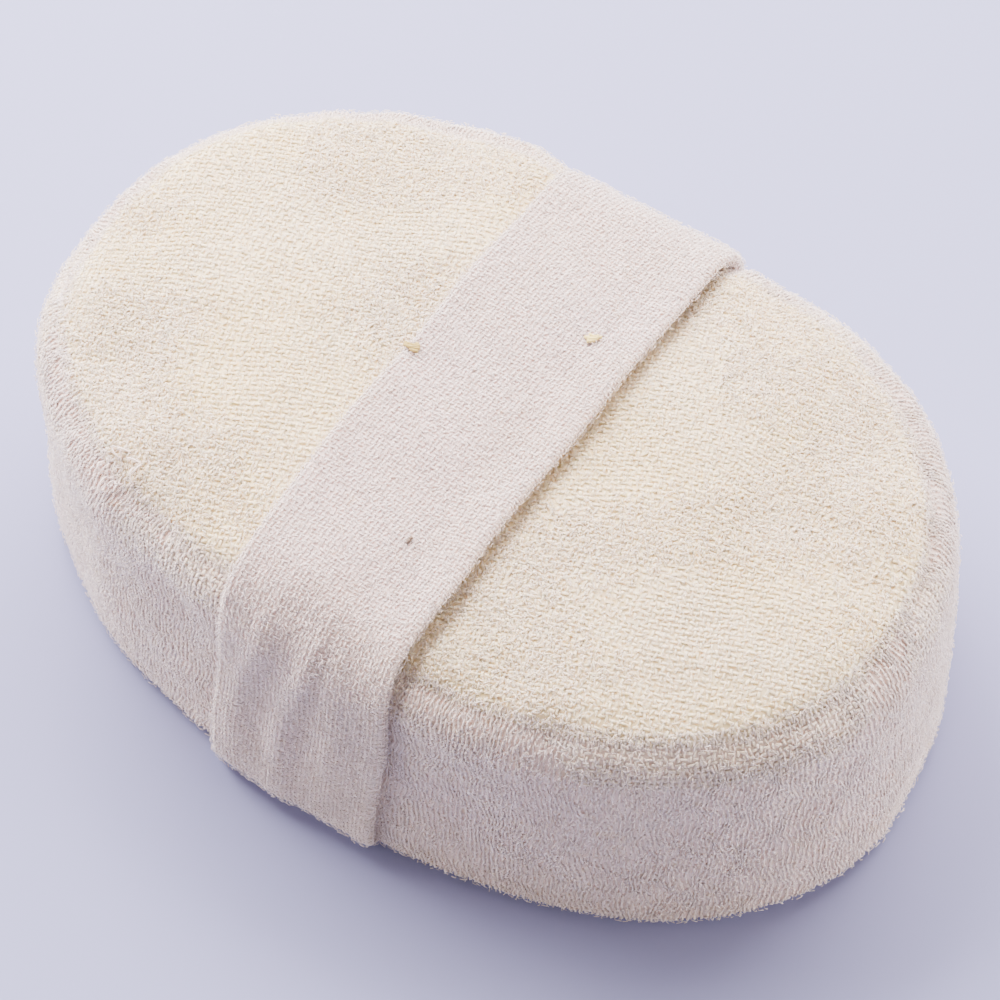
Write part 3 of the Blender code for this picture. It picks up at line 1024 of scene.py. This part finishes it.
def build_seams(thread):
    """The stitches: round the top, round the loofah, and up the band's join at the back."""
    turns = math.tau * np.arange(RIM_STITCHES) / RIM_STITCHES
    outwards = unit(ring(turns, 0, 0) - ring(turns, 1 * MM, 0))
    upright = np.array([0.0, 0.0, 1.0])
    inset, height = corner(CORNER_RADIUS - TOP_STITCH_DEPTH, SEAM_ANGLE)
    centres = ring(turns, inset, height)
    along = unit(np.roll(centres, -1, axis=0) - centres)
    out = outwards * math.cos(SEAM_ANGLE) + upright * math.sin(SEAM_ANGLE)
    top = stitches("top_seam_stitches", centres, along, out, *TOP_STITCH, thread)
    inset = LENGTH / 2 - LOOFAH_HIGH.x + LOOFAH_STITCH_INSET
    centres = ring(turns, inset, LOOFAH_STITCH_HEIGHT)
    along = unit(np.roll(centres, -1, axis=0) - centres)
    down = np.broadcast_to(-upright, centres.shape)
    bottom = stitches("bottom_seam_stitches", centres, along, down, *BOTTOM_STITCH, thread)
    back = outline(np.array([math.pi / 2]))[0]
    heights = np.arange(5 * MM, 36 * MM, JOIN_STITCH_PITCH)
    centres = np.stack([0 * heights, 0 * heights + back[1] - 0.6 * MM, heights], axis=-1)
    along = np.broadcast_to(upright, centres.shape)
    out = np.broadcast_to(np.array([0.0, 1.0, 0.0]), centres.shape)
    join = stitches("band_join_stitches", centres, along, out, *BOTTOM_STITCH, thread)
    for seam, node in (
        (top, "top_seam_thread"),
        (bottom, "bottom_seam_thread"),
        (join, "band_join_thread"),
    ):
        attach(seam, "scrubber")
        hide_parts(node)


def build_strap(yarn, thread, straw, dark_straw, husk):
    grid = strap_grid()
    rows, columns, _ = grid.shape
    faces = grid_faces(rows, columns)[:, ::-1]
    strap = mesh_object("hand_strap_cloth", grid, faces, yarn)
    foot, far_foot = grid_ends(rows, columns)
    cap(strap, foot[::-1], far_foot)
    strap.data.shade_smooth()
    knit = strap_pile(grid, yarn)
    _, climb = grid_lengths(grid)
    loose = grid_fuzz("hand_strap_fuzz", grid, climb[-1], FUZZ_PITCH, yarn, 1.3 * MM, 0.30 * MM)
    for piece in [strap, *knit, *loose]:
        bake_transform(piece)
    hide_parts("strap_span", "strap_front_leg", "strap_back_leg")
    build_strap_seam(grid, thread)
    build_stray_fibres(strap, straw, dark_straw, husk)


def build_strap_seam(grid, thread):
    """The stitches that close the folded strap, along the middle of its underside."""
    middle = STRAP_TOP_COLUMNS + STRAP_EDGE_COLUMNS + STRAP_UNDER_COLUMNS // 2
    line = grid[:, middle]
    line = line[line[:, 2] > RIM_HEIGHT - 1 * MM]
    run = running(np.linalg.norm(np.diff(line, axis=0), axis=-1))
    at = np.arange(2 * MM, run[-1] - 2 * MM, STRAP_STITCH_PITCH)
    along = unit(np.gradient(line, axis=0))
    centres = np.stack([np.interp(at, run, line[:, k]) for k in range(3)], axis=-1)
    ways = unit(np.stack([np.interp(at, run, along[:, k]) for k in range(3)], axis=-1))
    down = unit(np.cross(ways, [1.0, 0.0, 0.0]))
    down *= -np.sign(down[:, 2:])
    seam = stitches("strap_seam_stitches", centres, ways, down, *STRAP_STITCH, thread)
    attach(seam, "strap")
    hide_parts("strap_seam_thread")


def build_stray_fibres(strap, straw, dark_straw, husk):
    """Two tufts of loofah fibre caught on the strap, and a speck of husk."""
    tree = BVHTree.FromObject(strap, bpy.context.evaluated_depsgraph_get())
    source = np.random.default_rng(12)
    for name, place, count, length, finish in (
        ("stray_fibres_1", (-13.5, 0.4), 7, 2.0, dark_straw),
        ("stray_fibres_2", (7.6, 16.2), 6, 2.0, straw),
        ("husk_speck", (4.5, -26.7), 2, 0.7, husk),
    ):
        lines = []
        for _ in range(count):
            middle = np.array(place) * MM + source.normal(0, 0.35 * MM, 2)
            heading = source.normal(0.5, 0.6)
            t = np.linspace(-0.5, 0.5, 6) * length * source.uniform(0.6, 1.1) * MM
            bend = heading + t * STRAY_CURL
            hit, _, _, _ = tree.ray_cast(Vector((*middle, 0.1)), Vector((0, 0, -1)))
            rest = SPAN_HIGH.z if hit is None else hit.z
            x, y = middle[0] + t * np.cos(bend), middle[1] + t * np.sin(bend)
            z = rest + 0.50 * MM + 0.12 * MM * np.sin(bend * 3)
            lines.append(np.stack([x, y, z], axis=-1))
        tuft = tubes(name, lines, [STRAY_RADIUS] * count, 6, finish)
        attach(tuft, "strap")


def stage():
    made, _, paint = shader("pale_floor")
    paint.inputs["Base Color"].default_value = (0.27, 0.296, 0.53, 1)
    paint.inputs["Roughness"].default_value = 0.75
    corners = [(-3, -3, 0), (3, -3, 0), (3, 3, 0), (-3, 3, 0)]
    floor = mesh_object("floor", corners, [(0, 1, 2, 3)], made)
    floor.location.z = -FLOOR_GAP


def direction(azimuth, elevation):
    """The way from the object to this azimuth and elevation."""
    flat = math.cos(elevation)
    return Vector((math.sin(azimuth) * flat, -math.cos(azimuth) * flat, math.sin(elevation)))


def area_light(name, azimuth, elevation, distance, size, power, colour):
    """A soft box that looks at the middle of the floor.  size is its width and height."""
    lamp = bpy.data.lights.new(name, "AREA")
    lamp.shape = "RECTANGLE"
    lamp.size, lamp.size_y = size
    lamp.energy = power
    lamp.color = colour
    made = bpy.data.objects.new(name, lamp)
    way = direction(math.radians(azimuth), math.radians(elevation))
    made.location = way * distance
    made.rotation_euler = way.to_track_quat("Z", "Y").to_euler()
    bpy.context.scene.collection.objects.link(made)


def light():
    world = bpy.data.worlds.new("studio")
    world.use_nodes = True
    sky = world.node_tree.nodes["Background"]
    sky.inputs["Color"].default_value = (1.0, 0.89, 0.865, 1)
    sky.inputs["Strength"].default_value = 0.174
    bpy.context.scene.world = world
    cool, warm = (1.0, 0.888, 0.857), (1.0, 0.865, 0.797)
    area_light("back_left", 250, 48, 0.70, (0.55, 0.55), 25.8, cool)
    area_light("back_right", 180, 45, 0.85, (0.7, 0.7), 23.5, cool)
    area_light("left", 300, 10, 0.9, (0.8, 0.2), 9.2, warm)
    area_light("right", 115, 10, 0.9, (0.8, 0.2), 14.8, warm)
    area_light("front", 30, 12, 1.0, (0.8, 0.25), 3.0, warm)


def camera():
    """The view that the scrubber is shown from: azimuth, elevation, roll and aim."""
    azimuth, elevation, roll = (math.radians(a) for a in (37.25, 56.91, -3.477))
    distance, lens = 0.6956, 161.33
    aim = Vector((-7.85 * MM, 11.77 * MM, 0))
    back = direction(azimuth, elevation)
    right = (-back).cross(Vector((0, 0, 1))).normalized()
    up = right.cross(-back)
    c, s = math.cos(roll), math.sin(roll)
    right, up = c * right + s * up, c * up - s * right
    lens_data = bpy.data.cameras.new("camera")
    lens_data.lens = lens
    lens_data.clip_start = 0.05
    made = bpy.data.objects.new("camera", lens_data)
    turned_to = Matrix((right, up, back)).transposed().to_4x4()
    made.matrix_world = Matrix.Translation(aim + back * distance) @ turned_to
    bpy.context.scene.collection.objects.link(made)
    bpy.context.scene.camera = made


def main():
    camera()
    light()
    stage()
    ground = terry("cream_knit", (0.98, 0.81, 0.54), (0.97, 0.79, 0.48), (0.94, 0.73, 0.40))
    yarn = terry("cream_pile", (0.98, 0.81, 0.65), (0.97, 0.80, 0.60), (0.94, 0.75, 0.52))
    band_yarn = terry("band_terry", (0.84, 0.68, 0.63), (0.83, 0.67, 0.59), (0.80, 0.63, 0.48))
    band_ground = terry("band_knit", (0.88, 0.73, 0.60), (0.86, 0.70, 0.53), (0.82, 0.64, 0.44))
    strap_yarn = terry("strap_terry", (0.79, 0.64, 0.615), (0.78, 0.63, 0.575), (0.76, 0.60, 0.515))
    thread = fibre("cotton_thread", (0.84, 0.78, 0.66), (0.78, 0.70, 0.56), 900.0)
    straw = fibre("loofah_fibre", (0.74, 0.60, 0.34), (0.58, 0.44, 0.22), 160.0)
    matted = fibre("loofah_matted", (0.50, 0.38, 0.20), (0.66, 0.53, 0.30), 700.0)
    stray = fibre("stray_loofah_fibre", (0.74, 0.62, 0.24), (0.66, 0.54, 0.20), 2000.0)
    dark_stray = fibre("dark_loofah_fibre", (0.50, 0.39, 0.13), (0.40, 0.30, 0.10), 2000.0)
    husk = fibre("husk", (0.20, 0.15, 0.12), (0.28, 0.20, 0.14), 900.0)
    sponge = fibre("foam", (0.90, 0.84, 0.62), (0.84, 0.77, 0.52), 1500.0, 0.95)
    build_cover(yarn, ground, band_yarn, band_ground)
    build_seams(thread)
    build_strap(strap_yarn, thread, stray, dark_stray, husk)
    mat, net = loofah_face(matted, straw)
    for piece in (mat, net):
        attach(piece, "scrubber")
    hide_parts("loofah_face")
    block = foam_block(sponge)
    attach(block, "scrubber")
    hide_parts("foam_core")


main()
